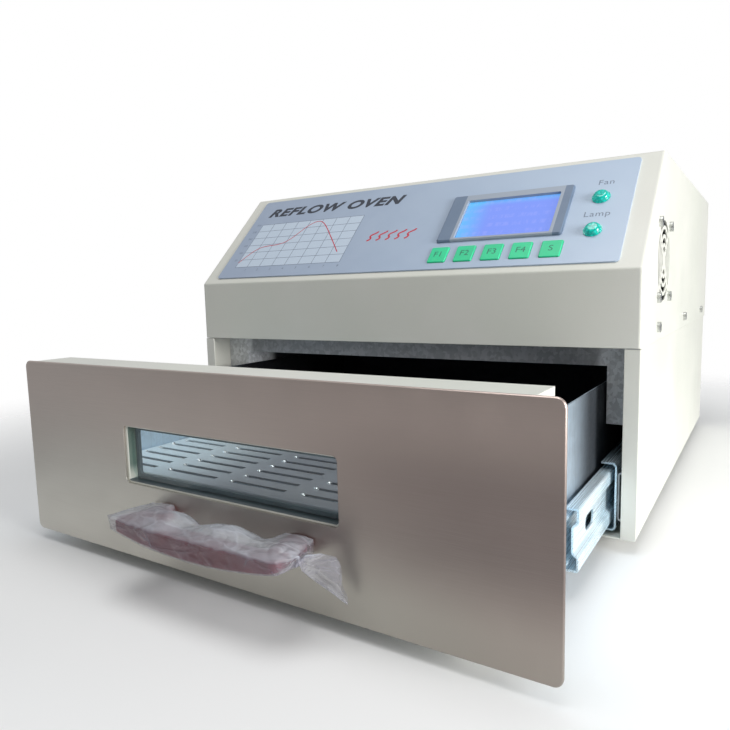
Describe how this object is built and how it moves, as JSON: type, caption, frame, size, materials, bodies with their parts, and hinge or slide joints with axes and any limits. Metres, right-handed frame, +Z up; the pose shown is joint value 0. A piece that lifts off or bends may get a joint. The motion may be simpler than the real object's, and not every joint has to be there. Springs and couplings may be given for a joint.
{
  "type": "reflow oven",
  "caption": "Bench-top infrared reflow oven with a sloping control panel, a windowed drawer on telescopic slides, a slotted board tray and a bowed handle.",
  "frame": {"origin": "on the bench, at the centre of the footprint with the drawer resting part-way open", "axes": "+Z up, the front with the drawer and control panel faces -Y, +X is the right side seen from the front"},
  "size_m": [0.3744, 0.6356, 0.26],
  "materials": {
    "cream_paint": "fine textured powder coat",
    "galvanised": "spangled zinc coating",
    "brushed_plate": "brushed, warm nickel tint",
    "zinc_slide": "bright zinc plating",
    "bright_zinc": "polished",
    "screw_steel": "plated",
    "reflector_metal": "polished",
    "quartz": "clear",
    "window_pane": "tempered, clear",
    "filament_wire": "oxidised coil",
    "ceramic_white": "glazed steatite",
    "insulation_wool": "felted fibre",
    "probe_steel": "heat tinted",
    "handle_red": "moulded",
    "clear_film": "crumpled packing film",
    "tray_steel": "galvanised, scratched",
    "overlay_film": "printed membrane",
    "bezel_grey": "moulded",
    "lcd_blue": "backlit liquid crystal",
    "lcd_frame": "black frame",
    "key_green": "moulded",
    "lamp_green": "tinted lens",
    "board_green": "solder resist",
    "black_plastic": "moulded",
    "chip_black": "moulded",
    "brass_metal": "plain",
    "rubber_black": "moulded",
    "transformer_yellow": "taped winding",
    "wire_sleeve": "silicone sleeve",
    "rocker_red": "moulded"
  },
  "bodies": {
    "case": {"base_pan": "cream_paint", "board_components": "chip_black", "board_standoffs": "brass_metal", "case_screws": "screw_steel", "chamber_insulation": "insulation_wool", "chamber_shell": "galvanised", "control_board": "board_green", "control_overlay": "overlay_film", "display_bezel": "bezel_grey", "heat_shield": "galvanised", "heater_end_caps": "ceramic_white", "heater_filaments": "filament_wire", "hood_cover": "cream_paint", "indicator_lamps": "lamp_green", "inlet_blades": "brass_metal", "lamp_reflector": "reflector_metal", "lcd_module": "lcd_frame", "lcd_screen": "lcd_blue", "mains_inlet": "black_plastic", "power_board": "board_green", "power_switch_body": "black_plastic", "quartz_tubes": "quartz", "rear_fan_frame": "black_plastic", "rear_panel": "cream_paint", "rubber_feet": "rubber_black", "side_fan_frame": "black_plastic", "slide_brackets": "galvanised", "slide_outer_left": "zinc_slide", "slide_outer_right": "zinc_slide", "slide_screws": "screw_steel", "thermocouples": "probe_steel", "transformer": "transformer_yellow", "wiring": "wire_sleeve"},
    "drawer": {"drawer_front_plate": "brushed_plate", "door_pan": "cream_paint", "window_glass": "window_pane", "window_retainer": "rubber_black", "drawer_handle": "handle_red", "handle_film": "clear_film", "drawer_box": "galvanised", "tray": "tray_steel", "tray_ledges": "galvanised", "drawer_screws": "screw_steel", "slide_inner_left": "zinc_slide", "slide_inner_right": "zinc_slide"},
    "middle_left": {"slide_middle_left": "zinc_slide"},
    "outer_cage_left": {"ball_cage_outer_left": "bright_zinc"},
    "inner_cage_left": {"ball_cage_inner_left": "bright_zinc"},
    "middle_right": {"slide_middle_right": "zinc_slide"},
    "outer_cage_right": {"ball_cage_outer_right": "bright_zinc"},
    "inner_cage_right": {"ball_cage_inner_right": "bright_zinc"},
    "key_f1_body": {"key_f1": "key_green"},
    "key_f2_body": {"key_f2": "key_green"},
    "key_f3_body": {"key_f3": "key_green"},
    "key_f4_body": {"key_f4": "key_green"},
    "key_start_body": {"key_start": "key_green"},
    "side_rotor": {"side_fan_rotor": "black_plastic"},
    "rear_rotor": {"rear_fan_rotor": "black_plastic"},
    "rocker": {"power_switch_rocker": "rocker_red"},
    "fuse_holder": {"fuse_drawer": "black_plastic"}
  },
  "joints": [
    {"name": "drawer_slide", "type": "slide", "parent": "case", "child": "drawer", "axis": [0, -1, 0], "range_m": [-0.166, 0.154]},
    {"name": "slide_middle_left_travel", "type": "slide", "parent": "case", "child": "middle_left", "axis": [0, -1, 0], "range_m": [-0.0832, 0.0772]},
    {"name": "outer_cage_left_travel", "type": "slide", "parent": "case", "child": "outer_cage_left", "axis": [0, -1, 0], "range_m": [-0.0417, 0.0387]},
    {"name": "inner_cage_left_travel", "type": "slide", "parent": "case", "child": "inner_cage_left", "axis": [0, -1, 0], "range_m": [-0.1247, 0.1157]},
    {"name": "slide_middle_right_travel", "type": "slide", "parent": "case", "child": "middle_right", "axis": [0, -1, 0], "range_m": [-0.0832, 0.0772]},
    {"name": "outer_cage_right_travel", "type": "slide", "parent": "case", "child": "outer_cage_right", "axis": [0, -1, 0], "range_m": [-0.0417, 0.0387]},
    {"name": "inner_cage_right_travel", "type": "slide", "parent": "case", "child": "inner_cage_right", "axis": [0, -1, 0], "range_m": [-0.1247, 0.1157]},
    {"name": "key_f1_press", "type": "slide", "parent": "case", "child": "key_f1_body", "axis": [0, 0.7071, -0.7071], "range_m": [0, 0.0005], "stiffness_N_per_m": 800},
    {"name": "key_f2_press", "type": "slide", "parent": "case", "child": "key_f2_body", "axis": [0, 0.7071, -0.7071], "range_m": [0, 0.0005], "stiffness_N_per_m": 800},
    {"name": "key_f3_press", "type": "slide", "parent": "case", "child": "key_f3_body", "axis": [0, 0.7071, -0.7071], "range_m": [0, 0.0005], "stiffness_N_per_m": 800},
    {"name": "key_f4_press", "type": "slide", "parent": "case", "child": "key_f4_body", "axis": [0, 0.7071, -0.7071], "range_m": [0, 0.0005], "stiffness_N_per_m": 800},
    {"name": "key_start_press", "type": "slide", "parent": "case", "child": "key_start_body", "axis": [0, 0.7071, -0.7071], "range_m": [0, 0.0005], "stiffness_N_per_m": 800},
    {"name": "side_fan_spin", "type": "hinge", "parent": "case", "child": "side_rotor", "pos_m": [0.1764, -0.0343, 0.185], "axis": [1, 0, 0], "continuous": true},
    {"name": "rear_fan_spin", "type": "hinge", "parent": "case", "child": "rear_rotor", "pos_m": [0, 0.2927, 0.129], "axis": [0, 1, 0], "continuous": true},
    {"name": "power_rocker", "type": "hinge", "parent": "case", "child": "rocker", "pos_m": [-0.098, 0.3133, 0.057], "axis": [1, 0, 0], "range_deg": [-16, 0]},
    {"name": "fuse_drawer_slide", "type": "slide", "parent": "case", "child": "fuse_holder", "axis": [0, 1, 0], "range_m": [0, 0.022]}
  ],
  "couplings": [
    {"joint": "slide_middle_left_travel", "follows": "drawer_slide", "ratio": 0.5},
    {"joint": "outer_cage_left_travel", "follows": "drawer_slide", "ratio": 0.25},
    {"joint": "inner_cage_left_travel", "follows": "drawer_slide", "ratio": 0.75},
    {"joint": "slide_middle_right_travel", "follows": "drawer_slide", "ratio": 0.5},
    {"joint": "outer_cage_right_travel", "follows": "drawer_slide", "ratio": 0.25},
    {"joint": "inner_cage_right_travel", "follows": "drawer_slide", "ratio": 0.75}
  ]
}
